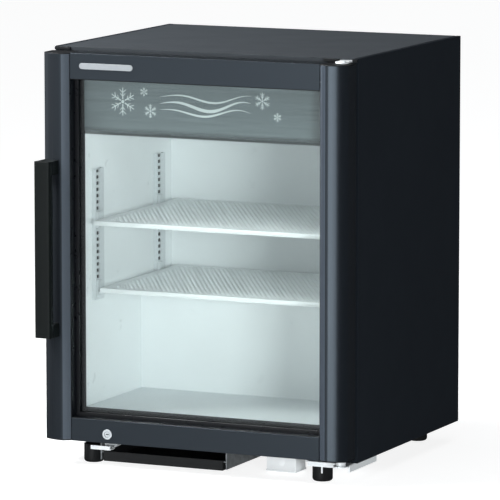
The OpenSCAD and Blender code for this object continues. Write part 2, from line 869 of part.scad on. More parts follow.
module door_rail_bottom() {
    high = rail_low_top;
    pocket_low = high - pocket_d;
    edge = post_in - seam;
    color("#30353b") place() difference() {
        along_x([-edge, edge]) difference() {
            polygon([[-door_front, door_bottom], [trim_y, door_bottom], [trim_y, pocket_low],
                [pocket_y, pocket_low], [pocket_y, high], [-door_front, high]]);
            polygon([[-door_front + wall_t, door_bottom + wall_t],
                [trim_y - wall_t, door_bottom + wall_t], [trim_y - wall_t, pocket_low - wall_t],
                [pocket_y - wall_t, pocket_low - wall_t], [pocket_y - wall_t, high - wall_t],
                [-door_front + wall_t, high - wall_t]]);
        }
        rod_y(lock_x, [-door_front - 1, -door_front + 4], lock_z, barrel_r + 0.1);
        slab(
            [lock_x - cam_len - 3, cam_y[0] - 1.5, door_bottom - 1],
            [lock_x + cam_half + 3, cam_y[1] + 1.5, door_bottom + wall_t + 1]
        );
    }
}

// End caps of the uprights; the right ones carry the hinge bushes
module door_caps() {
    color("#101114") place() {
        for (z = [door_bottom, door_top - cap_t]) translate([0, 0, z]) mirror([1, 0, 0])
            linear_extrude(cap_t) cap_outline();
        difference() {
            union() {
                translate([0, 0, door_bottom]) linear_extrude(cap_t) cap_outline();
                rod_z(hinge_x, hinge_y, [door_bottom, door_bottom + 18], 9);
            }
            rod_z(hinge_x, hinge_y, [door_bottom - 1, door_bottom + 19], pin_r + running);
        }
        difference() {
            union() {
                translate([0, 0, door_top - cap_t]) linear_extrude(cap_t) cap_outline();
                rod_z(hinge_x, hinge_y, [door_top - 20, door_top], 9);
            }
            rod_z(hinge_x, hinge_y, [door_top - 21, door_top + 1], pin_r + running);
        }
    }
}

module glass_panes() {
    color("#bfd8dc", 0.3) place() for (y = [glass_y, glass_y + glass_t + pane_gap])
        slab([-glass_x, y, glass_z[0]], [glass_x, y + glass_t, glass_z[1]]);
}

module glass_spacer() {
    edge = glass_x - 0.5;
    y = glass_y + glass_t;
    color("#2b2d30") place()
        ring(edge, [glass_z[0] + 0.5, glass_z[1] - 0.5],
            edge - 8, [glass_z[0] + 8.5, glass_z[1] - 8.5], [y, y + pane_gap]);
}

module glazing_border() {
    color("#0e0f11") place() ring(glass_x, glass_z, border_x, border_z, [glass_y - border_t, glass_y]);
}

module header_band() {
    edge = trim_in_x - gap;
    color("#8a9598") place()
        slab([-edge, trim_y, rail_high_low - band_h], [edge, trim_y + 0.4, trim_in_z[1] - gap]);
}

// Four strips behind the glass, which hold it and carry the seal
module door_inner_trim() {
    z = [door_bottom + 1, door_top - 1];
    edge = trim_in_x - gap;
    color("#1a1c1f") place() {
        left_and_right() slab([trim_in_x, trim_y, z[0]], [trim_x, -door_gap, z[1]]);
        slab([-edge, trim_y, z[0]], [edge, -door_gap, trim_in_z[0]]);
        slab([-edge, trim_y, trim_in_z[1]], [edge, -door_gap, z[1]]);
    }
}

// Magnetic seal: a foot strip and a narrower lip that meets the cabinet
module door_gasket() {
    foot = -door_gap + 0.02;
    w = seal_x[1] - seal_x[0];
    color("#232528") place() {
        ring(seal_x[1], seal_z, seal_x[0], [seal_z[0] + w, seal_z[1] - w], [foot, -6]);
        ring(seal_x[1] - 2, [seal_z[0] + 2, seal_z[1] - 2], seal_x[0] + 2,
            [seal_z[0] + w - 2, seal_z[1] - w + 2], [-6.5, -0.5]);
    }
}

// ---- Handle, badge and lock ----

module handle_grip() {
    back = -handle_reach + handle_t;
    round_r = 5;
    color("#191c1d") place() translate([0, 0, handle_z]) linear_extrude(handle_len) {
        translate([-half_w, -handle_reach + round_r]) square([handle_w, handle_t - round_r]);
        translate([-half_w + round_r, -handle_reach]) square([handle_w - 2 * round_r, handle_t]);
        for (x = [-half_w + round_r, -half_w + handle_w - round_r])
            translate([x, -handle_reach + round_r]) circle(r = round_r);
        translate([-half_w, back - 1]) square([handle_w, 1]);
    }
}

module handle_legs() {
    color("#191c1d") place() for (z = leg_z) translate([0, 0, z]) {
        difference() {
            slab(
                [-half_w + 2, -handle_reach + handle_t + gap, 0],
                [-half_w + handle_w, crest_y + 20, leg_h]
            );
            translate([0, 0, -1]) linear_extrude(leg_h + 2) mirror([1, 0, 0]) post_outline();
            translate([0, 0, -1]) linear_extrude(leg_h + 2) mirror([1, 0, 0]) post_hollow();
        }
        rod_y(grip_x, [crest_y - 6, crest_y + 12], leg_h / 2, leg_stud_r);
        rod_y(grip_x, [crest_y + 9, crest_y + 13], leg_h / 2, leg_stud_r + 3);
    }
}

module badge() {
    x = [-240, -136];
    z = rail_high_low + 26;
    r = 6;
    color("#c8ccd0") place() {
        slab([x[0], -door_front - 1.4, z - r], [x[1], -door_front - 0.02, z + r]);
        for (end = x) rod_y(end, [-door_front - 1.4, -door_front - 0.02], z, r);
    }
}

module lock_housing() {
    color("#d8dbde") place() difference() {
        union() {
            rod_y(lock_x, [-door_front - 2.5, -door_front - 0.02], lock_z, barrel_r + 2);
            rod_y(lock_x, [-door_front - 1, cam_y[0] - 1], lock_z, barrel_r);
        }
        rod_y(lock_x, [-door_front - 3, cam_y[0]], lock_z, plug_r + running);
    }
}

// Key plug with the cam on its back end; at rest the cam lies level, clear of the keeper
module lock_plug() {
    color("#b9bdc1") place() difference() {
        union() {
            rod_y(lock_x, [-door_front - 2, cam_y[0] + 1], lock_z, plug_r);
            slab(
                [lock_x - cam_len, cam_y[0], lock_z - cam_half],
                [lock_x + cam_half, cam_y[1], lock_z + cam_half]
            );
        }
        slab([lock_x - 3.5, -door_front - 3, lock_z - 1], [lock_x + 3.5, -door_front + 4, lock_z + 1]);
    }
}

side_panel_left();
side_panel_right();
top_panel();
back_panel();
rear_grille();
base_pan();
insulation();
liner_sides();
liner_ceiling();
liner_floor();
liner_back();
liner_step();
breaker_frame();
machine_divider();
shelf_standards();
shelf_clips();
shelf_upper();
shelf_lower();
light_housing();
light_lens();
evaporator_cover();
evaporator_coil();
fan_motors();
evaporator_fan();
thermostat_knob();
light_switch();
compressor();
condenser_coil();
condenser_shroud();
condenser_fan();
refrigerant_lines();
drip_tray();
tray_rails();
wiring_box();
cord_gland();
top_hinge_plate();
top_hinge_cover();
bottom_hinge_bracket();
lock_keeper();
panel_screws();
foot_front_left();
foot_front_right();
foot_rear_left();
foot_rear_right();
door_post_left();
door_post_right();
door_rail_top();
door_rail_bottom();
door_caps();
glass_panes();
glass_spacer();
glazing_border();
header_band();
door_inner_trim();
door_gasket();
handle_grip();
handle_legs();
badge();
lock_housing();
lock_plug();
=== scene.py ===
import json
import math

import bmesh
import bpy
from mathutils import Matrix, Vector

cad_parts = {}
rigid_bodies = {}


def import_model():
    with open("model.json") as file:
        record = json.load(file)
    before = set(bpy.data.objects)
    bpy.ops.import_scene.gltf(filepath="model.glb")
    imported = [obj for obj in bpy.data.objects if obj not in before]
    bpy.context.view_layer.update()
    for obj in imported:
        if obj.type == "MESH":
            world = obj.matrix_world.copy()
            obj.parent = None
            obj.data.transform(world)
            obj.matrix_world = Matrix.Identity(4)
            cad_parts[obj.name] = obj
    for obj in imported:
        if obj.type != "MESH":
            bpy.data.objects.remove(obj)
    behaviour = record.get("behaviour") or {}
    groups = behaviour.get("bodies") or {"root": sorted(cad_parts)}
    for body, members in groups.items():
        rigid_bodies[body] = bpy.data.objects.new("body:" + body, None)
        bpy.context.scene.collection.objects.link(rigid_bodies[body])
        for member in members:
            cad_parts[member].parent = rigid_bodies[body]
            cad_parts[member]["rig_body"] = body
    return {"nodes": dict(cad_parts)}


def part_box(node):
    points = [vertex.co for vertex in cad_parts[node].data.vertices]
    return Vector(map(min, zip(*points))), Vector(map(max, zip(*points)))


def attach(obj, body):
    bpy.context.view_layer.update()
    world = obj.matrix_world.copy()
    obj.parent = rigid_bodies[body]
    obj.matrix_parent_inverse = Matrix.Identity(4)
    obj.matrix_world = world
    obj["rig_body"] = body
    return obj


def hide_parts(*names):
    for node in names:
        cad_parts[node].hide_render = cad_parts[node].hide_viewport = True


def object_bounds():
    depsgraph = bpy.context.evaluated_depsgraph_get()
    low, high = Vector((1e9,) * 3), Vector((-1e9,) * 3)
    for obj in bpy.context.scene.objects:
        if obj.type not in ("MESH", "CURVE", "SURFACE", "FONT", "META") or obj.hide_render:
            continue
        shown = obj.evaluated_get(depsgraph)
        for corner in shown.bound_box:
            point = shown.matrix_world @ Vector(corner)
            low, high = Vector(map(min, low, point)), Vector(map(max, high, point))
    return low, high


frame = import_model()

# A counter-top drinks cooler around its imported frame. Lengths are in metres, and MM turns
# millimetres into metres. X runs to the right seen from the front, Y to the back, Z up.

MM = 0.001
cad_low, cad_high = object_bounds()


# ---- Colours and materials ----

def linear(code):
    """The linear colour of a hex code."""
    values = [int(code[i:i + 2], 16) / 255 for i in (1, 3, 5)]
    return tuple(v / 12.92 if v <= 0.04045 else ((v + 0.055) / 1.055) ** 2.4 for v in values)


class Finish:
    """A material whose colour, gloss and relief vary over the surface."""

    def __init__(self, name, code, rough, metallic=0.0, specular=0.5, coat=0.0, stretch=(1, 1, 1)):
        self.material = bpy.data.materials.new(name)
        self.material.use_nodes = True
        self.tree = self.material.node_tree
        self.shader = self.tree.nodes["Principled BSDF"]
        self.colour = linear(code)
        self.rough = rough
        self.set("Base Color", (*self.colour, 1))
        self.set("Roughness", rough)
        self.set("Metallic", metallic)
        self.set("Specular IOR Level", specular)
        self.set("Coat Weight", coat)
        self.set("Coat Roughness", 0.12)
        self.place = self.add("ShaderNodeTexCoord").outputs["Object"]
        self.stretched = self.mapped(stretch)

    def set(self, socket, value):
        self.shader.inputs[socket].default_value = value

    def add(self, kind, **settings):
        node = self.tree.nodes.new(kind)
        for key, value in settings.items():
            setattr(node, key, value)
        return node

    def link(self, out, into):
        self.tree.links.new(out, into)

    def mapped(self, scale):
        node = self.add("ShaderNodeMapping")
        node.inputs["Scale"].default_value = scale
        self.link(self.place, node.inputs["Vector"])
        return node.outputs["Vector"]

    def noise(self, size, detail=3.0, where=None):
        """A cloudy pattern from 0 to 1 with spots about size metres across."""
        node = self.add("ShaderNodeTexNoise")
        node.inputs["Scale"].default_value = 1 / size
        node.inputs["Detail"].default_value = detail
        self.link(where or self.stretched, node.inputs["Vector"])
        return node.outputs["Fac"]

    def cells(self, size, feature="F1", output="Distance"):
        node = self.add("ShaderNodeTexVoronoi", feature=feature)
        node.inputs["Scale"].default_value = 1 / size
        self.link(self.stretched, node.inputs["Vector"])
        return node.outputs[output]

    def ranged(self, value, low, high, new_low, new_high):
        node = self.add("ShaderNodeMapRange")
        for name, number in zip(("From Min", "From Max", "To Min", "To Max"), (low, high, new_low, new_high)):
            node.inputs[name].default_value = number
        self.link(value, node.inputs["Value"])
        return node.outputs["Result"]

    def tone(self, pattern, amount, low=0.3, high=0.7):
        """Darkens and lightens the colour by amount along a pattern."""
        mix = self.add("ShaderNodeMix", data_type="RGBA")
        mix.inputs["A"].default_value = (*(c * (1 - amount) for c in self.colour), 1)
        mix.inputs["B"].default_value = (*(c * (1 + amount) for c in self.colour), 1)
        self.link(self.ranged(pattern, low, high, 0, 1), mix.inputs["Factor"])
        self.link(mix.outputs["Result"], self.shader.inputs["Base Color"])

    def gloss(self, pattern, amount, low=0.3, high=0.7):
        """Varies the roughness by amount along a pattern."""
        rough = self.ranged(pattern, low, high, self.rough - amount, self.rough + amount)
        self.link(rough, self.shader.inputs["Roughness"])

    def relief(self, pattern, height, strength=1.0):
        bump = self.add("ShaderNodeBump")
        bump.inputs["Distance"].default_value = height
        bump.inputs["Strength"].default_value = strength
        self.link(pattern, bump.inputs["Height"])
        self.link(bump.outputs["Normal"], self.shader.inputs["Normal"])


def painted(name, code, rough, specular):
    """Pre-painted sheet steel with a very fine orange-peel skin."""
    f = Finish(name, code, rough, specular=specular)
    f.tone(f.noise(0.25), 0.025)
    f.gloss(f.noise(0.08, 4), 0.02)
    f.relief(f.noise(0.0011, 2), 0.00002, 0.4)
    return f.material


def extruded(name, code, rough, stretch, specular=0.5, painted_highlight=None):
    """Coated aluminium extrusion with faint draw lines; painted_highlight is a highlight colour and its
    reach.
    """
    f = Finish(name, code, rough, specular=specular, stretch=stretch)
    f.set("Specular Tint", (0.72, 0.86, 1.0, 1))
    f.tone(f.noise(0.004, 4), 0.02)
    # Nearer the middle than its reach the colour is brighter: a painted highlight on the posts' inner slope
    if painted_highlight:
        highlight_code, edge = painted_highlight
        blend = 0.2 * MM
        split = f.add("ShaderNodeSeparateXYZ")
        f.link(f.place, split.inputs["Vector"])
        outward = f.add("ShaderNodeMath", operation="ABSOLUTE")
        f.link(split.outputs["X"], outward.inputs[0])
        plain = f.shader.inputs["Base Color"].links[0].from_socket
        mix = f.add("ShaderNodeMix", data_type="RGBA")
        mix.inputs["A"].default_value = (*linear(highlight_code), 1)
        f.link(plain, mix.inputs["B"])
        f.link(f.ranged(outward.outputs[0], edge - blend, edge + blend, 0, 1), mix.inputs["Factor"])
        f.link(mix.outputs["Result"], f.shader.inputs["Base Color"])
    f.gloss(f.noise(0.002, 4), 0.02)
    f.relief(f.noise(0.0008, 3), 0.00001, 0.12)
    return f.material


def moulded(name, code, rough, grain=0.0009, specular=0.45, skin=0.4):
    """Moulded plastic with a spark-eroded skin; skin is how strong its relief is."""
    f = Finish(name, code, rough, specular=specular)
    f.tone(f.noise(0.03), 0.03)
    f.gloss(f.noise(0.012, 4), 0.06)
    f.relief(f.noise(grain, 2), 0.00003, skin)
    return f.material


def enamelled(name, code, rough=0.32):
    """White stoved enamel with a soft wave in the skin."""
    f = Finish(name, code, rough, specular=0.5)
    f.tone(f.noise(0.09), 0.018)
    f.gloss(f.noise(0.03, 4), 0.05)
    f.relief(f.noise(0.0035, 2), 0.00003, 0.35)
    return f.material


def galvanised():
    """Zinc-coated steel with spangle."""
    f = Finish("galvanised", "#b4b9bc", 0.36, metallic=0.85)
    f.tone(f.cells(0.009, output="Color"), 0.22, 0, 1)
    f.gloss(f.cells(0.009, output="Color"), 0.10, 0, 1)
    f.relief(f.cells(0.009), 0.00002, 0.4)
    return f.material


def plated(name, code, rough, grain=0.0006, metallic=1.0):
    """Bright plated metal with fine polishing marks."""
    f = Finish(name, code, rough, metallic=metallic)
    f.tone(f.noise(0.006, 4), 0.03)
    f.gloss(f.noise(grain * 4, 4), 0.05)
    f.relief(f.noise(grain, 3), 0.000008, 0.4)
    return f.material


def rubbery(name, code, rough=0.62):
    f = Finish(name, code, rough, specular=0.35)
    f.tone(f.noise(0.02), 0.10)
    f.gloss(f.noise(0.006, 4), 0.07)
    f.relief(f.noise(0.0006, 3), 0.00004, 0.5)
    return f.material


def foamed():
    """Rigid foam with a skin of small cells."""
    f = Finish("foam", "#e2d29b", 0.85, specular=0.2)
    f.tone(f.noise(0.03, 5), 0.12)
    f.gloss(f.noise(0.01), 0.08)
    f.relief(f.cells(0.0025), 0.0004, 0.8)
    return f.material


def copper():
    f = Finish("copper", "#b4683a", 0.30, metallic=1.0)
    f.tone(f.noise(0.02, 5), 0.22)
    f.gloss(f.noise(0.008, 4), 0.10)
    f.relief(f.noise(0.0012, 3), 0.00002, 0.4)
    return f.material


def clear_glass():
    """Clear float glass: a faint tint, and reflections that grow towards grazing angles."""
    f = Finish("clear_glass", "#ffffff", 0.03)
    straight_on = 0.028
    clear = f.add("ShaderNodeBsdfTransparent")
    clear.inputs["Color"].default_value = (0.972, 0.985, 0.982, 1)
    mirror = f.add("ShaderNodeBsdfGlossy")
    mirror.inputs["Color"].default_value = (0.95, 0.98, 1.0, 1)
    f.link(f.ranged(f.noise(0.05), 0.3, 0.7, 0.01, 0.035), mirror.inputs["Roughness"])
    # The same on both faces of a pane: a Fresnel node would shut the far face off beyond 45 degrees
    slant = f.add("ShaderNodeLayerWeight")
    slant.inputs["Blend"].default_value = 0.5
    power = f.add("ShaderNodeMath", operation="POWER")
    f.link(slant.outputs["Facing"], power.inputs[0])
    power.inputs[1].default_value = 5
    mix = f.add("ShaderNodeMixShader")
    f.link(f.ranged(power.outputs[0], 0, 1, straight_on, 1), mix.inputs["Fac"])
    f.link(clear.outputs["BSDF"], mix.inputs[1])
    f.link(mirror.outputs["BSDF"], mix.inputs[2])
    f.link(mix.outputs["Shader"], f.tree.nodes["Material Output"].inputs["Surface"])
    return f.material


def lamp_plastic():
    """Opal lamp cover, lit evenly from inside."""
    f = Finish("lamp_plastic", "#f6f8fa", 0.45)
    f.tone(f.noise(0.02), 0.02)
    f.gloss(f.noise(0.01), 0.05)
    f.relief(f.noise(0.001, 2), 0.00002, 0.4)
    f.set("Emission Color", (0.93, 0.97, 1.0, 1))
    f.set("Emission Strength", 2.2)
    return f.material


def printed_band(low, fade):
    """Grey print of fine lines; it thins out over its lowest stretch."""
    spacing = 1.4 * MM
    f = Finish("header_print", "#616b6e", 0.5, specular=0.35)
    split = f.add("ShaderNodeSeparateXYZ")
    f.link(f.place, split.inputs["Vector"])
    height = split.outputs["Z"]
    lines = f.add("ShaderNodeMath", operation="PINGPONG")
    lines.inputs[1].default_value = spacing
    f.link(height, lines.inputs[0])
    mixed = f.add("ShaderNodeMath", operation="ADD")
    f.link(f.ranged(lines.outputs[0], 0, spacing, 0, 0.35), mixed.inputs[0])
    f.link(f.noise(0.05, 2, f.mapped((0.35, 1, 13))), mixed.inputs[1])
    f.tone(mixed.outputs[0], 0.22, 0.4, 1.0)
    f.gloss(f.noise(0.02), 0.05)
    f.link(f.ranged(height, low, low + fade, 0.05, 1.0), f.shader.inputs["Alpha"])
    return f.material


# How far from the middle the painted highlight on the posts' inner slope goes, and which way the draw lines
# run
PAINTED_HIGHLIGHT_EDGE = 282.3 * MM
DRAWN_UP = (1, 1, 0.01)
DRAWN_ACROSS = (0.01, 1, 1)

FINISHES = {
    "black_sheet": painted("black_sheet", "#181c21", 0.45, 0.06),
    # The top is the same black paint as the sides, made lighter: painted light from above
    "lit_top_sheet": painted("lit_top_sheet", "#33373b", 0.58, 0.14),
    # The brighter colours given to the posts are painted highlights on their inner slopes
    "post_skin": extruded("post_skin", "#0f1216", 0.24, DRAWN_UP, 0.9, ("#343a42", PAINTED_HIGHLIGHT_EDGE)),
    "left_post_skin": extruded("left_post_skin", "#0f1216", 0.44, DRAWN_UP, 0.46, ("#3a4047", PAINTED_HIGHLIGHT_EDGE)),
    "rail_skin": extruded("rail_skin", "#0d1014", 0.30, DRAWN_ACROSS, 0.8),
    "rear_sheet": painted("rear_sheet", "#3a3d42", 0.5, 0.3),
    "base_sheet": painted("base_sheet", "#26292d", 0.5, 0.3),
    "foam": foamed(),
    "white_enamel": enamelled("white_enamel", "#f6f9fa"),
    "floor_steel": enamelled("floor_steel", "#e6eaec", 0.4),
    "black_plastic": moulded("black_plastic", "#0d0f12", 0.45, specular=0.3, skin=0.2),
    "galvanised": galvanised(),
    "bright_zinc": plated("bright_zinc", "#e0e4e6", 0.34, metallic=0.3),
    "shelf_enamel": enamelled("shelf_enamel", "#eff2f3", 0.35),
    "white_plastic": moulded("white_plastic", "#d4d7d8", 0.42),
    "lamp_lens": lamp_plastic(),
    "fin_aluminium": plated("fin_aluminium", "#b6bcc0", 0.4, 0.0012),
    "motor_steel": plated("motor_steel", "#6d7277", 0.42, 0.001),
    "compressor_black": painted("compressor_black", "#15171a", 0.38, 0.5),
    "copper": copper(),
    "tray_plastic": moulded("tray_plastic", "#1b1c1d", 0.5, specular=0.25),
    "rubber": rubbery("rubber", "#0c0d0f"),
    "foot_plastic": moulded("foot_plastic", "#141516", 0.48, specular=0.25),
    "clear_glass": clear_glass(),
    "spacer": plated("spacer", "#2a2c30", 0.45, 0.001),
    "border_rubber": moulded("border_rubber", "#0a0c10", 0.32, specular=0.35, skin=0.08),
    "ornament_print": moulded("ornament_print", "#c3cbcb", 0.5),
    "handle_skin": moulded("handle_skin", "#0b0f0f", 0.38, specular=0.18),
    "badge_metal": plated("badge_metal", "#8f9498", 0.42, metallic=0.3),
    "lock_chrome": plated("lock_chrome", "#b4babe", 0.24, 0.0004, 0.3),
    # Near-black for the key slot and the rim of the lock plug: painted shade
    "keyway_shade_black": moulded("keyway_shade_black", "#050506", 0.6),
}


# ---- Pieces ----

def body_of(node):
    return frame["nodes"][node]["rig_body"]


def add_piece(name, mesh, finish, body, slot, *nodes):
    """Links a mesh as a piece on a body; it stands for the CAD nodes named."""
    piece = bpy.data.objects.new(name, mesh)
    bpy.context.scene.collection.objects.link(piece)
    mesh.materials.clear()
    mesh.materials.append(FINISHES[finish])
    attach(piece, body)
    if nodes:
        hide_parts(*nodes)
    return piece


def to_mesh(bm, name, smooth_angle=35):
    """Turns a bmesh into a mesh with smooth faces and sharp edges past smooth_angle."""
    bmesh.ops.recalc_face_normals(bm, faces=bm.faces)
    mesh = bpy.data.meshes.new(name)
    bm.to_mesh(mesh)
    bm.free()
    mesh.shade_smooth()
    mesh.set_sharp_from_angle(angle=math.radians(smooth_angle))
    return mesh


def soften(node, finish, slot, edge):
    """Replaces a CAD node with the same shape, its edges rounded by edge millimetres."""
    bm = bmesh.new()
    bm.from_mesh(frame["nodes"][node].data)
    bmesh.ops.remove_doubles(bm, verts=bm.verts, dist=0.002 * MM)
    bmesh.ops.dissolve_limit(bm, angle_limit=math.radians(0.4), verts=bm.verts, edges=bm.edges)
    piece = add_piece(node + "_skin", to_mesh(bm, node), finish, body_of(node), slot, node)
    bevel = piece.modifiers.new("edges", "BEVEL")
    bevel.width = edge * MM
    bevel.segments = 2
    bevel.limit_method = "ANGLE"
    bevel.angle_limit = math.radians(38)
    bevel.use_clamp_overlap = False
    bevel.harden_normals = True
    return piece


# CAD nodes whose shape is right: their finish, their slot and the radius of their edges in mm
SOFTENED = {
    "side_panel_left": ("black_sheet", "black_paint", 0.6),
    "side_panel_right": ("black_sheet", "black_paint", 0.6),
    "top_panel": ("lit_top_sheet", "graphite_paint", 0.5),
    "back_panel": ("rear_sheet", "rear_steel", 0.25),
    "base_pan": ("base_sheet", "black_paint", 0.25),
    "liner_sides": ("white_enamel", "white_enamel", 0.4),
    "liner_ceiling": ("white_enamel", "white_enamel", 0.4),
    "liner_floor": ("floor_steel", "floor_steel", 0.4),
    "liner_back": ("white_enamel", "white_enamel", 0.4),
    "liner_step": ("white_enamel", "white_enamel", 0.4),
    "breaker_frame": ("black_plastic", "black_plastic", 0.4),
    "machine_divider": ("galvanised", "galvanised", 0.2),
    "shelf_clips": ("bright_zinc", "bright_zinc", 0.3),
    "light_housing": ("white_plastic", "white_plastic", 0.5),
    "light_lens": ("lamp_lens", "lamp_lens", 0.3),
    "compressor": ("compressor_black", "compressor_black", 0.6),
    "condenser_shroud": ("galvanised", "galvanised", 0.4),
    "drip_tray": ("tray_plastic", "tray_plastic", 0.5),
    "tray_rails": ("galvanised", "galvanised", 0.25),
    "wiring_box": ("white_plastic", "white_plastic", 0.5),
    "cord_gland": ("rubber", "rubber", 0.5),
    "top_hinge_plate": ("bright_zinc", "bright_zinc", 0.3),
    "top_hinge_cover": ("black_plastic", "black_plastic", 0.4),
    "bottom_hinge_bracket": ("bright_zinc", "bright_zinc", 0.3),
    "lock_keeper": ("bright_zinc", "bright_zinc", 0.35),
    "foot_front_left": ("foot_plastic", "foot_plastic", 0.7),
    "foot_front_right": ("foot_plastic", "foot_plastic", 0.7),
    "foot_rear_left": ("foot_plastic", "foot_plastic", 0.7),
    "foot_rear_right": ("foot_plastic", "foot_plastic", 0.7),
    "door_post_left": ("left_post_skin", "graphite_door", 0.35),
    "door_post_right": ("post_skin", "graphite_door", 0.35),
    "door_rail_top": ("rail_skin", "graphite_door", 0.35),
    "door_rail_bottom": ("rail_skin", "graphite_door", 0.35),
    "door_caps": ("black_plastic", "black_plastic", 0.4),
    "glazing_border": ("border_rubber", "border_rubber", 0.8),
    "door_inner_trim": ("black_plastic", "black_plastic", 0.4),
    "glass_spacer": ("spacer", "spacer", 0.2),
    "handle_grip": ("handle_skin", "handle_plastic", 0.6),
    "handle_legs": ("handle_skin", "handle_plastic", 0.5),
    "badge": ("badge_metal", "badge_metal", 0.4),
    "lock_housing": ("lock_chrome", "lock_chrome", 0.5),
    "lock_plug": ("lock_chrome", "lock_chrome", 0.25),
    "light_switch": ("white_plastic", "white_plastic", 0.4),
    "shelf_standards": ("bright_zinc", "bright_zinc", 0.15),
    "rear_grille": ("rear_sheet", "rear_steel", 0.2),
    "evaporator_cover": ("white_plastic", "white_plastic", 0.3),
    "fan_motors": ("motor_steel", "motor_steel", 0.5),
    "refrigerant_lines": ("copper", "copper", 0.1),
    "insulation": ("foam", "foam", 0.5),
}

for node, (finish, slot, edge) in SOFTENED.items():
    soften(node, finish, slot, edge)


# ---- Shapes ----

def add_loops(bm, loops, closed=False):
    """Joins rings of points with faces; the two ends are capped unless the rings close on themselves."""
    rings = [[bm.verts.new(point) for point in loop] for loop in loops]
    pairs = list(zip(rings, rings[1:]))
    if closed:
        pairs.append((rings[-1], rings[0]))
    for first, second in pairs:
        for i in range(len(first)):
            j = (i + 1) % len(first)
            bm.faces.new((first[i], first[j], second[j], second[i]))
    if not closed:
        bm.faces.new(rings[0])
        bm.faces.new(rings[-1])


def add_block(bm, low, high):
    """Adds a box between two opposite corners."""
    (x0, y0, z0), (x1, y1, z1) = low, high
    add_loops(bm, [[(x0, y0, z), (x1, y0, z), (x1, y1, z), (x0, y1, z)] for z in (z0, z1)])


def across(outline, y):
    """Points of an outline in X and Z, set at a depth."""
    return [(x, y, z) for x, z in outline]


def circle(x, z, r, count, turn=0.0):
    steps = [2 * math.pi * i / count + turn for i in range(count)]
    return [(x + r * math.cos(a), z + r * math.sin(a)) for a in steps]


def add_turned(bm, x, z, profile, segments=40):
    """A solid turned about an axis along Y; the profile lists its depth and its radius."""
    add_loops(bm, [across(circle(x, z, r, segments), y) for y, r in profile])


def add_tube(bm, path, radius, segments=10):
    """A round tube along a path of points."""
    path = [Vector(p) for p in path]
    loops = []
    side = None
    for i, point in enumerate(path):
        ahead = (path[min(i + 1, len(path) - 1)] - path[max(i - 1, 0)]).normalized()
        if side is None:
            side = ahead.orthogonal().normalized()
        side = (side - ahead * side.dot(ahead)).normalized()
        up = ahead.cross(side)
        turns = [2 * math.pi * k / segments for k in range(segments)]
        loops.append([point + side * radius * math.cos(t) + up * radius * math.sin(t) for t in turns])
    add_loops(bm, loops)


def add_hoop(bm, x, y, z, r, wire, segments=40):
    """A round wire bent into a ring about an axis along Y."""
    loops = []
    for k in range(segments):
        turn = 2 * math.pi * k / segments
        section = [(r + wire * math.cos(a), wire * math.sin(a)) for a in (math.pi * i / 3 for i in range(6))]
        loops.append([(x + u * math.cos(turn), y + v, z + u * math.sin(turn)) for u, v in section])
    add_loops(bm, loops, closed=True)


def add_bar(bm, start, end, width, y):
    """A flat bar between two points in X and Z, narrower at its far end."""
    a, b = Vector(start), Vector(end)
    side = (b - a).normalized()
    side = Vector((-side.y, side.x)) * width / 2
    corners = [a + side, b + side * 0.6, b - side * 0.6, a - side]
    add_loops(bm, [across([tuple(c) for c in corners], depth) for depth in y])


# ---- Shelves ----

def pierced_deck(low, high, thick, hole_r, pitch, margin):
    """A deck with staggered rows of round holes and plain margins around them."""
    rise = pitch * 0.866
    columns = int((high.x - low.x - 2 * margin) / pitch)
    rows = int((high.y - low.y - 2 * margin) / rise)
    left = (low.x + high.x) / 2 - columns * pitch / 2
    front = (low.y + high.y) / 2 - rows * rise / 2
    points, faces = [], []
    top, bottom = high.z, high.z - thick

    def cell(x0, x1, y0, y1):
        """One cell of the deck with a hole in its middle."""
        x, y = (x0 + x1) / 2, (y0 + y1) / 2
        edge = [(x1, y), (x1, y1), (x, y1), (x0, y1), (x0, y), (x0, y0), (x, y0), (x1, y0)]
        hole = [(x + hole_r * math.cos(a), y + hole_r * math.sin(a))
                for a in (math.atan2(v - y, u - x) for u, v in edge)]
        base = len(points)
        points.extend((u, v, z) for z in (top, bottom) for ring in (edge, hole) for u, v in ring)
        for i in range(8):
            j = (i + 1) % 8
            faces.append((base + i, base + j, base + 8 + j, base + 8 + i))
            faces.append((base + 16 + j, base + 16 + i, base + 24 + i, base + 24 + j))
            faces.append((base + 8 + i, base + 8 + j, base + 24 + j, base + 24 + i))

    for row in range(rows):
        y = front + row * rise
        shift = pitch / 2 if row % 2 else 0
        for column in range(columns - 1):
            x = left + shift + column * pitch
            cell(x, x + pitch, y, y + rise)
    mesh = bpy.data.meshes.new("deck")
    mesh.from_pydata(points, [], faces)
    bm = bmesh.new()
    bm.from_mesh(mesh)
    bmesh.ops.remove_doubles(bm, verts=bm.verts, dist=0.01 * MM)
    for row in range(rows):
        y = front + row * rise
        shift = pitch / 2 if row % 2 else 0
        right = left + shift + (columns - 1) * pitch
        add_block(bm, (low.x + thick, y, bottom), (left + shift, y + rise, top))
        add_block(bm, (right, y, bottom), (high.x - thick, y + rise, top))
    add_block(bm, (low.x + thick, low.y + 2 * thick, bottom), (high.x - thick, front, top))
    add_block(bm, (low.x + thick, front + rows * rise, bottom), (high.x - thick, high.y - thick, top))
    return bm


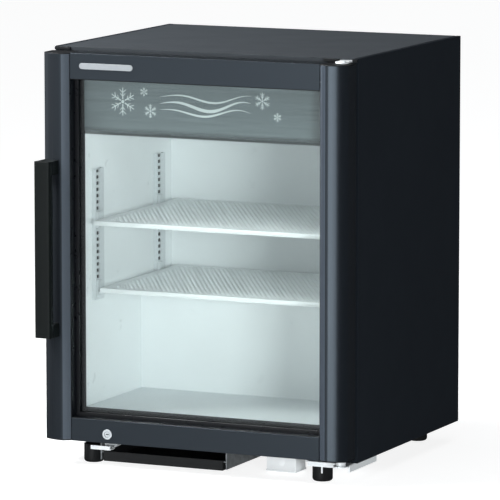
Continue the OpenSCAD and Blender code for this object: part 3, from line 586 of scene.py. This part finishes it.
def add_shelf(node):
    """Pressed shelf: a pierced deck between a rounded front lip and three turned-down edges."""
    low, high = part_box(node)
    thick = 1.2 * MM
    bm = pierced_deck(low, high, thick, 3.1 * MM, 10 * MM, 12 * MM)
    lip = [(0.9, 0.0), (0.3, -0.35), (0.0, -1.1), (0.0, -8.2), (0.4, -8.8), (1.2, -9.0), (2.4, -9.0),
           (2.4, -7.9), (1.4, -7.8), (1.2, -7.4), (1.2, -1.5), (1.6, -1.2), (2.4, -1.2), (2.4, 0.0)]
    add_loops(bm, [[(x, low.y + y * MM, high.z + z * MM) for y, z in lip] for x in (low.x, high.x)])
    for x in (low.x, high.x - thick):
        add_block(bm, (x, low.y + 2 * thick, low.z), (x + thick, high.y, high.z))
    add_block(bm, (low.x + thick, high.y - thick, low.z), (high.x - thick, high.y, high.z))
    add_piece(node + "_pierced", to_mesh(bm, node), "shelf_enamel", body_of(node), "shelf_enamel", node)


add_shelf("shelf_lower")
add_shelf("shelf_upper")


# ---- Glass and header band ----

pane_low, pane_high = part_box("glass_panes")
PANE_THICK = 4 * MM
hair = 0.03 * MM
panes = bmesh.new()
for y in (pane_low.y, pane_high.y - PANE_THICK):
    add_block(
        panes,
        (pane_low.x + hair, y + hair, pane_low.z + hair),
        (pane_high.x - hair, y + PANE_THICK - hair, pane_high.z - hair),
    )
add_piece("panes", to_mesh(panes, "panes"), "clear_glass", "door", "clear_glass", "glass_panes")

band_low, band_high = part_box("header_band")
BAND_FADE = 16 * MM
FINISHES["header_print"] = printed_band(band_low.z, BAND_FADE)
band = bmesh.new()
add_block(band, band_low + Vector((0, 0.1 * MM, 0)), band_high)
band_mesh = to_mesh(band, "header_print")
add_piece("header_print", band_mesh, "header_print", "door", "header_print", "header_band")


def add_snowflake(bm, x, z, size, width, y):
    """Six branching arms around a small hexagon."""
    add_loops(bm, [across(circle(x, z, size * 0.13, 6), depth) for depth in y])
    for arm in range(6):
        turn = math.pi / 6 + arm * math.pi / 3

        def at(along, aside):
            return (
                x + along * math.cos(turn) - aside * math.sin(turn),
                z + along * math.sin(turn) + aside * math.cos(turn),
            )

        add_bar(bm, at(size * 0.18, 0), at(size, 0), width, y)
        for along, reach in ((0.42, 0.20), (0.66, 0.26)):
            for side in (-1, 1):
                start = at(size * along, side * width * 0.4)
                end = at(size * (along + reach * 0.8), side * size * reach)
                add_bar(bm, start, end, width * 0.7, y)


def add_wave(bm, x, z, height, phase, width, y):
    """A flowing ribbon, widest in its middle and pointed at its ends."""
    steps = 48
    upper, lower = [], []
    for i in range(steps + 1):
        part = i / steps
        px = x[0] + (x[1] - x[0]) * part
        pz = z + height * math.sin(phase + part * 2.6 * math.pi) * (0.35 + 0.65 * part)
        half = width * (0.08 + math.sin(math.pi * part)) / 2
        upper.append((px, pz + half))
        lower.append((px, pz - half))
    add_loops(bm, [across(upper + lower[::-1], depth) for depth in y])


ornament = bmesh.new()
layer = (band_low.y + 0.04 * MM, band_low.y + 0.12 * MM)
# X, Z, reach and arm width of each snowflake, then Z, height, phase and width of each wave, in mm
FLAKES = (
    (-172, 724, 28, 2.6),
    (-112, 708, 14, 1.8),
    (-126, 745, 9, 1.4),
    (128, 738, 17, 2.0),
    (160, 708, 9, 1.4),
)
WAVES = ((722, 13, 0.4, 6.0), (709, 10, 0.9, 3.8), (737, 10, 0.0, 3.4))
WAVE_ENDS = (-92 * MM, 104 * MM)
for x, z, size, width in FLAKES:
    add_snowflake(ornament, x * MM, z * MM, size * MM, width * MM, layer)
for z, height, phase, width in WAVES:
    add_wave(ornament, WAVE_ENDS, z * MM, height * MM, phase, width * MM, layer)
ornament_mesh = to_mesh(ornament, "header_ornament")
add_piece("header_ornament", ornament_mesh, "ornament_print", "door", "header_print")


# ---- Seal ----

def add_frame(bm, half, z, profile):
    """A mitred frame; the profile lists the distance in from its outer edge and the depth, in mm."""
    loops = []
    for side_x, side_z in ((-1, 0), (1, 0), (1, 1), (-1, 1)):
        loop = []
        for inward, y in profile:
            x = side_x * (half - inward * MM)
            height = z[1] - inward * MM if side_z else z[0] + inward * MM
            loop.append((x, y * MM, height))
        loops.append(loop)
    add_loops(bm, loops, closed=True)


seal_low, seal_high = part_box("door_gasket")
seal_y = seal_low.y / MM
bellows = [(0.0, 0.0), (16.0, 0.0), (16.0, 1.2), (14.6, 1.7), (13.6, 2.6), (14.8, 3.5), (15.6, 4.2),
           (14.8, 4.9), (13.6, 5.8), (14.4, 6.6), (14.4, 7.6), (13.4, 8.4), (2.6, 8.4), (1.6, 7.6),
           (1.6, 6.6), (2.4, 5.8), (1.2, 4.9), (0.4, 4.2), (1.2, 3.5), (2.4, 2.6), (1.4, 1.7), (0.0, 1.2)]
seal = bmesh.new()
add_frame(seal, seal_high.x, (seal_low.z, seal_high.z), [(inward, seal_y + y) for inward, y in bellows])
add_piece("seal_bellows", to_mesh(seal, "seal_bellows", 60), "rubber", "door", "rubber", "door_gasket")

glazing = bmesh.new()
rail_low, rail_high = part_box("door_rail_bottom")
head_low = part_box("door_rail_top")[0]
post_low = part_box("door_post_right")[0]
border_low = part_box("glazing_border")[0]
face, depth = (rail_low.y + 0.6 * MM) / MM, (border_low.y - 0.2 * MM) / MM
lip = [(0.05, face), (1.0, face), (1.3, face + 0.5), (1.3, depth), (0.05, depth)]
add_frame(glazing, post_low.x, (rail_high.z, head_low.z), lip)
add_piece("glazing_lip", to_mesh(glazing, "glazing_lip"), "border_rubber", "door", "border_rubber")

# Dark strips behind the shelf standards: painted shade inside the channels, so that their slots read as holes
standard_low, standard_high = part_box("shelf_standards")
rear_standard_y = standard_high.y - 38 * MM
slot_shade = bmesh.new()
for side in (-1, 1):
    for y in (standard_low.y, rear_standard_y):
        x = sorted((side * (standard_high.x - 6.2 * MM), side * (standard_high.x - 5.4 * MM)))
        add_block(
            slot_shade,
            (x[0], y + 2.5 * MM, standard_low.z + 2 * MM),
            (x[1], y + 17.5 * MM, standard_high.z - 2 * MM),
        )
add_piece("standard_slot_shade", to_mesh(slot_shade, "standard_slot_shade"), "rubber", "cabinet", "rubber")


# ---- Fans and coils ----

def add_fan(node, blades, chord, pitch, hub_part):
    """A hub with twisted blades; the pitch falls from the hub to the tips."""
    low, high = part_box(node)
    x, z = (low.x + high.x) / 2, (low.z + high.z) / 2
    tip = min(high.x - low.x, high.z - low.z) / 2 - 0.3 * MM
    hub = tip * hub_part
    root = hub * 0.94
    depth = high.y - low.y
    rim = 1.2 * MM
    nose = [(low.y, hub * 0.55), (low.y + rim, hub * 0.86), (low.y + 3 * rim, hub), (high.y, hub)]
    bm = bmesh.new()
    add_turned(bm, x, z, nose)
    stations, steps = 7, 8
    for blade in range(blades):
        loops = []
        for s in range(stations):
            part = s / (stations - 1)
            radius = root + (tip - root) * part
            twist = pitch[0] + (pitch[1] - pitch[0]) * part
            half = min(chord * (0.72 + 0.5 * part) / 2, depth * 0.46 / math.sin(twist))
            half *= 0.84 if s == stations - 1 else 1.0
            sweep = 0.35 * part * part
            upper, lower = [], []
            for i in range(steps + 1):
                t = 2 * i / steps - 1
                camber = (1 - t * t) * 0.10 * half
                thick = 0.45 * MM * (1.15 - t * t)
                for ring, off in ((upper, camber + thick), (lower, camber - thick)):
                    along = half * t * math.cos(twist) - off * math.sin(twist)
                    deep = half * t * math.sin(twist) + off * math.cos(twist)
                    turn = 2 * math.pi * blade / blades + sweep + along / max(radius, hub)
                    ring.append((
                        x + radius * math.cos(turn),
                        low.y + depth / 2 + deep,
                        z + radius * math.sin(turn),
                    ))
            loops.append(upper + lower[::-1])
        add_loops(bm, loops)
    add_piece(node + "_blades", to_mesh(bm, node, 40), "black_plastic", body_of(node), "black_plastic", node)


add_fan("evaporator_fan", 5, 30 * MM, (0.66, 0.40), 0.30)
add_fan("condenser_fan", 5, 62 * MM, (0.66, 0.36), 0.28)


def add_guard(name, node, reach, y, rings, spokes, finish, slot):
    """A wire guard of rings and spokes around a fan's axis."""
    low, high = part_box(node)
    x, z = (low.x + high.x) / 2, (low.z + high.z) / 2
    wire = 0.9 * MM
    bm = bmesh.new()
    for k in range(rings):
        add_hoop(bm, x, y, z, reach * (0.28 + 0.72 * k / (rings - 1)), wire)
    for k in range(spokes):
        angle = 2 * math.pi * k / spokes + 0.4
        ends = [
            (x + r * math.cos(angle), y + 1.5 * wire, z + r * math.sin(angle))
            for r in (reach * 0.26, reach * 1.03)
        ]
        add_tube(bm, ends, wire, 6)
    add_piece(name, to_mesh(bm, name, 60), finish, "cabinet", slot)


cold_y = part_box("evaporator_cover")[0].y - 1.2 * MM
warm_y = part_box("condenser_shroud")[1].y + 14 * MM
add_guard("cold_guard", "evaporator_fan", 38 * MM, cold_y, 5, 4, "white_plastic", "white_plastic")
add_guard("warm_guard", "condenser_fan", 76 * MM, warm_y, 7, 4, "bright_zinc", "bright_zinc")


def finned_coil(low, high, pitch, tubes, reach):
    """Thin fins between two end plates, on tubes whose return bends reach out past the plates."""
    half_plate, half_fin = 0.8 * MM, 0.25 * MM
    bend_steps = 12
    bm = bmesh.new()
    count = int((high.x - low.x) / pitch)
    step = (high.x - low.x) / count
    for k in range(count + 1):
        half = half_plate if k in (0, count) else half_fin
        x = min(max(low.x + k * step, low.x + half), high.x - half)
        add_block(bm, (x - half, low.y, low.z), (x + half, high.y, high.z))
    for k, (y, z) in enumerate(tubes):
        add_tube(bm, [(low.x + 0.2 * MM, y, z), (high.x - 0.2 * MM, y, z)], 3.6 * MM, 12)
        if k + 1 < len(tubes):
            y2, z2 = tubes[k + 1]
            side = -1 if k % 2 else 1
            edge = high.x - 0.4 * MM if side > 0 else low.x + 0.4 * MM
            bend = []
            for i in range(bend_steps + 1):
                a = math.pi * i / bend_steps
                mix = (1 - math.cos(a)) / 2
                bend.append((edge + side * reach * math.sin(a), y + (y2 - y) * mix, z + (z2 - z) * mix))
            add_tube(bm, bend, 3.4 * MM, 10)
    return bm


coil_low, coil_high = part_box("evaporator_coil")
inset = Vector((11.5 * MM, 0, 0))
tubes = [(coil_low.y + d * MM, coil_low.z + h * MM) for d in (20, 50, 80, 100) for h in (18, 54)]
coil = finned_coil(coil_low + inset, coil_high - inset, 6 * MM, tubes, 7.4 * MM)
coil_mesh = to_mesh(coil, "evaporator_fins")
add_piece("evaporator_fins", coil_mesh, "fin_aluminium", "cabinet", "fin_aluminium", "evaporator_coil")

coil_low, coil_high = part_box("condenser_coil")
core_low = coil_low + Vector((7 * MM, 0, 12.4 * MM))
core_high = coil_high - Vector((7 * MM, 0, 0))
tubes = [
    (core_low.y + d * MM, core_low.z + (19 + 25 * k) * MM)
    for k in range(7)
    for d in ((12, 32) if k % 2 else (32, 12))
]
coil = finned_coil(core_low, core_high, 4 * MM, tubes, 2.6 * MM)
for x in (coil_low.x + 4 * MM, coil_high.x - 12 * MM):
    add_block(
        coil,
        (x, coil_low.y + 6 * MM, coil_low.z),
        (x + 8 * MM, coil_low.y + 30 * MM, core_low.z + 2 * MM),
    )
coil_mesh = to_mesh(coil, "condenser_fins")
add_piece("condenser_fins", coil_mesh, "fin_aluminium", "cabinet", "fin_aluminium", "condenser_coil")


# ---- Screws, lock and small parts ----

def add_screw(bm, at, axis, radius, height):
    """A pan head with a cross recess; it stands on the point at, along the axis."""
    turn = Vector((0, 0, 1)).rotation_difference(Vector(axis)).to_matrix().to_4x4()
    place = Matrix.Translation(at) @ turn
    inner = 0.72
    slot, reach = radius * 0.14, radius * 0.52
    cross = [(reach, slot), (slot, slot), (slot, reach), (-slot, reach), (-slot, slot), (-reach, slot),
             (-reach, -slot), (-slot, -slot), (-slot, -reach), (slot, -reach), (slot, -slot), (reach, -slot)]
    around = [
        (radius * inner * math.cos(math.atan2(v, u)), radius * inner * math.sin(math.atan2(v, u)))
        for u, v in cross
    ]

    def ring(points, z, grow=1.0):
        return [place @ Vector((u * grow, v * grow, z)) for u, v in points]

    full = 1 / inner
    deep = height * 0.45
    add_loops(bm, [
        ring(around, 0, full), ring(around, height * 0.45, full), ring(around, height * 0.8, full * 0.9),
        ring(around, height), ring(cross, height), ring(cross, deep, 0.85),
    ])


HEAD_RADIUS = 4 * MM
stand_off = 0.1 * MM
screws = bmesh.new()
rear_low, rear_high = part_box("back_panel")
grille_low, grille_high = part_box("rear_grille")
for x in (-240, -80, 80, 240):
    for z in (rear_low.z + 14 * MM, rear_high.z - 18.4 * MM):
        add_screw(screws, (x * MM, rear_high.y + stand_off, z), (0, 1, 0), HEAD_RADIUS, 1.6 * MM)
for x in (-290, 290):
    for z in (grille_low.z + 18 * MM, grille_high.z - 17 * MM):
        add_screw(screws, (x * MM, grille_high.y + stand_off, z), (0, 1, 0), HEAD_RADIUS, 1.6 * MM)
HINGE_UNDERSIDE = 37 * MM
for x, y in ((236, -151.5), (236, -91.5), (282, -91.5)):
    add_screw(screws, (x * MM, y * MM, HINGE_UNDERSIDE - 0.05 * MM), (0, 0, -1), HEAD_RADIUS, 1.9 * MM)
screw_mesh = to_mesh(screws, "cross_screws")
add_piece("cross_screws", screw_mesh, "bright_zinc", "cabinet", "bright_zinc", "panel_screws")

plug_low, plug_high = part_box("lock_plug")
housing_low, housing_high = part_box("lock_housing")
lock_x, lock_z = (housing_low.x + housing_high.x) / 2, (plug_low.z + plug_high.z) / 2
# A near-black block at the back of the key slot: painted shade in the keyway
keyhole_shade = bmesh.new()
add_block(
    keyhole_shade,
    (lock_x - 3.4 * MM, plug_low.y + 0.8 * MM, lock_z - 0.95 * MM),
    (lock_x + 3.4 * MM, plug_low.y + 3 * MM, lock_z + 0.95 * MM),
)
add_piece("keyhole_shade", to_mesh(keyhole_shade, "keyhole_shade"), "keyway_shade_black", "lock", "black_plastic")
# A black ring at the rim of the lock plug: painted shade in the gap around it
groove_shade = bmesh.new()
add_hoop(groove_shade, lock_x, plug_low.y - 0.05 * MM, lock_z, 5.9 * MM, 0.45 * MM, 32)
add_piece("lock_groove_shade", to_mesh(groove_shade, "lock_groove_shade"), "keyway_shade_black", "door", "black_plastic")

knob_low, knob_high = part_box("thermostat_knob")
knob_x, knob_z = (knob_low.x + knob_high.x) / 2, (knob_low.z + knob_high.z) / 2


def fluted(radius, flutes, depth):
    """The knob's round outline with shallow flutes."""
    steps = [2 * math.pi * i / (flutes * 8) for i in range(flutes * 8)]
    return [
        (knob_x + r * math.cos(a), knob_z + r * math.sin(a))
        for a, r in ((a, radius - depth * (0.5 + 0.5 * math.cos(flutes * a)) ** 3) for a in steps)
    ]


dial = bmesh.new()
add_loops(dial, [
    across(fluted(11.2 * MM, 12, 0.1 * MM), knob_low.y),
    across(fluted(12.4 * MM, 12, 0.5 * MM), knob_low.y + 0.8 * MM),
    across(fluted(12.8 * MM, 12, 0.9 * MM), knob_low.y + 8 * MM),
    across(fluted(14.0 * MM, 12, 0.1 * MM), knob_low.y + 9 * MM),
    across(fluted(14.0 * MM, 12, 0.1 * MM), knob_low.y + 13.6 * MM),
])
add_turned(dial, knob_x, knob_z, [(knob_low.y + 13 * MM, 3 * MM), (knob_high.y, 3 * MM)], 24)
add_piece("dial", to_mesh(dial, "dial"), "black_plastic", "knob", "black_plastic", "thermostat_knob")
pointer = bmesh.new()
add_block(
    pointer,
    (knob_x - 0.7 * MM, knob_low.y - 0.25 * MM, knob_z + 2 * MM),
    (knob_x + 0.7 * MM, knob_low.y + 0.4 * MM, knob_z + 10.4 * MM),
)
add_piece("dial_pointer", to_mesh(pointer, "dial_pointer"), "white_plastic", "knob", "white_plastic")

panel_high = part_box("top_panel")[1]
side_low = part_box("side_panel_right")[0]
bead = bmesh.new()
for side in (-1, 1):
    inner, outer = panel_high.x + 0.05 * MM, panel_high.x + 1.55 * MM
    x = sorted((side * inner, side * outer))
    add_block(
        bead,
        (x[0], side_low.y + 1.6 * MM, panel_high.z - 1.55 * MM),
        (x[1], panel_high.y, panel_high.z - 0.5 * MM),
    )
add_piece("seam_bead", to_mesh(bead, "seam_bead"), "rubber", "cabinet", "rubber")

# Sealing strip in the gap between the two rear panels
strip = bmesh.new()
add_block(
    strip,
    (grille_low.x + 1 * MM, grille_low.y + 0.1 * MM, grille_high.z + 0.05 * MM),
    (grille_high.x - 1 * MM, grille_low.y + 0.6 * MM, rear_low.z - 0.05 * MM),
)
add_piece("rear_seam_strip", to_mesh(strip, "rear_seam_strip"), "rubber", "cabinet", "rubber")

box_low, box_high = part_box("wiring_box")
knockout = bmesh.new()
add_turned(
    knockout,
    (box_low.x + box_high.x) / 2,
    (box_low.z + box_high.z) / 2 + 2 * MM,
    [(box_low.y + 0.5 * MM, 7.2 * MM), (box_low.y + 0.75 * MM, 8 * MM), (box_low.y + 1.4 * MM, 8 * MM)],
)
add_piece("knockout", to_mesh(knockout, "knockout"), "white_plastic", "cabinet", "white_plastic")


# ---- Studio ----

def studio_material(name, code, glow):
    """A plain matt surface that also gives off light."""
    f = Finish(name, code, 0.9, specular=0.1)
    f.tone(f.noise(1.5), 0.01)
    f.set("Emission Color", (1, 1, 1, 1))
    f.set("Emission Strength", glow)
    return f.material


def add_floor(radius):
    bm = bmesh.new()
    bmesh.ops.create_circle(bm, cap_ends=True, segments=96, radius=radius)
    floor = bpy.data.objects.new("studio_floor", to_mesh(bm, "studio_floor"))
    floor.location.z = -0.2 * MM
    floor.data.materials.append(studio_material("studio_floor", "#a0a2a3", 0.85))
    floor.visible_glossy = False
    bpy.context.scene.collection.objects.link(floor)


def add_backdrop(radius):
    """A white dome around the studio that the surfaces don't mirror."""
    bm = bmesh.new()
    bmesh.ops.create_uvsphere(bm, u_segments=48, v_segments=24, radius=radius)
    dome = bpy.data.objects.new("studio_backdrop", to_mesh(bm, "studio_backdrop"))
    dome.data.materials.append(studio_material("studio_backdrop", "#000000", 1.0))
    dome.visible_glossy = False
    dome.visible_diffuse = False
    dome.visible_shadow = False
    dome.visible_transmission = False
    bpy.context.scene.collection.objects.link(dome)


def aim(thing, target):
    direction = Vector(target) - thing.location
    thing.rotation_mode = "QUATERNION"
    thing.rotation_quaternion = direction.to_track_quat("-Z", "Y")


def add_softbox(name, at, target, size, power, colour=(1, 1, 1)):
    lamp = bpy.data.lights.new(name, "AREA")
    lamp.shape = "RECTANGLE"
    lamp.size, lamp.size_y = size
    lamp.energy = power
    lamp.color = colour
    box = bpy.data.objects.new(name, lamp)
    bpy.context.scene.collection.objects.link(box)
    box.location = at
    aim(box, target)
    return box


def add_sun(strength, spread):
    lamp = bpy.data.lights.new("sky", "SUN")
    lamp.energy = strength
    lamp.angle = math.radians(spread)
    sky = bpy.data.objects.new("sky", lamp)
    bpy.context.scene.collection.objects.link(sky)
    sky.location = (0, -1, 5)
    aim(sky, (0, 0, 0))


world = bpy.data.worlds.new("studio")
world.use_nodes = True
background = world.node_tree.nodes["Background"]
background.inputs["Color"].default_value = (0.95, 0.975, 1.0, 1)
background.inputs["Strength"].default_value = 0.035
bpy.context.scene.world = world
bpy.context.scene.view_settings.view_transform = "Standard"

add_floor(radius=38)
add_backdrop(radius=40)
add_sun(strength=0.9, spread=60)
centre = (cad_low + cad_high) / 2
COOL = (0.95, 0.98, 1.0)
add_softbox("left_wall", (-2.5, -5.0, 1.0), centre, size=(5.6, 4.6), power=54, colour=COOL)
add_softbox("front_strip", (-0.1, -6.2, 0.3), centre, size=(2.9, 3.4), power=88, colour=COOL)
add_softbox("side_box", (-4.6, -0.4, 1.2), centre, size=(1.6, 3.0), power=26, colour=COOL)
key = add_softbox("key_box", (4.6, -5.6, 0.9), centre, size=(1.6, 1.4), power=350, colour=COOL)
key.visible_glossy = False
add_softbox("top_box", (-1.7, -0.9, 2.5), (0, -0.1, 0.8), size=(1.5, 1.5), power=190)

lamp_low, lamp_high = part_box("light_lens")
add_softbox(
    "cabinet_lamp",
    ((lamp_low.x + lamp_high.x) / 2, lamp_low.y, lamp_low.z - 4 * MM),
    (0, 0.10, 0.10),
    size=(lamp_high.x - lamp_low.x, 22 * MM),
    power=0.12,
    colour=(0.93, 0.97, 1.0),
)


# ---- Camera ----

AZIMUTH = math.radians(24.489)
PITCH = math.radians(7.995)
DISTANCE = 9.137
AIM = Vector((0.0963, -0.2115, 0.4447))
LENS = 338.17
SENSOR = 36

camera = bpy.data.objects.new("camera", bpy.data.cameras.new("camera"))
camera.data.lens = LENS
camera.data.sensor_width = SENSOR
camera.data.clip_end = 120
bpy.context.scene.collection.objects.link(camera)
outward = Vector((
    math.sin(AZIMUTH) * math.cos(PITCH),
    -math.cos(AZIMUTH) * math.cos(PITCH),
    math.sin(PITCH),
))
camera.location = AIM + outward * DISTANCE
aim(camera, AIM)
bpy.context.scene.camera = camera
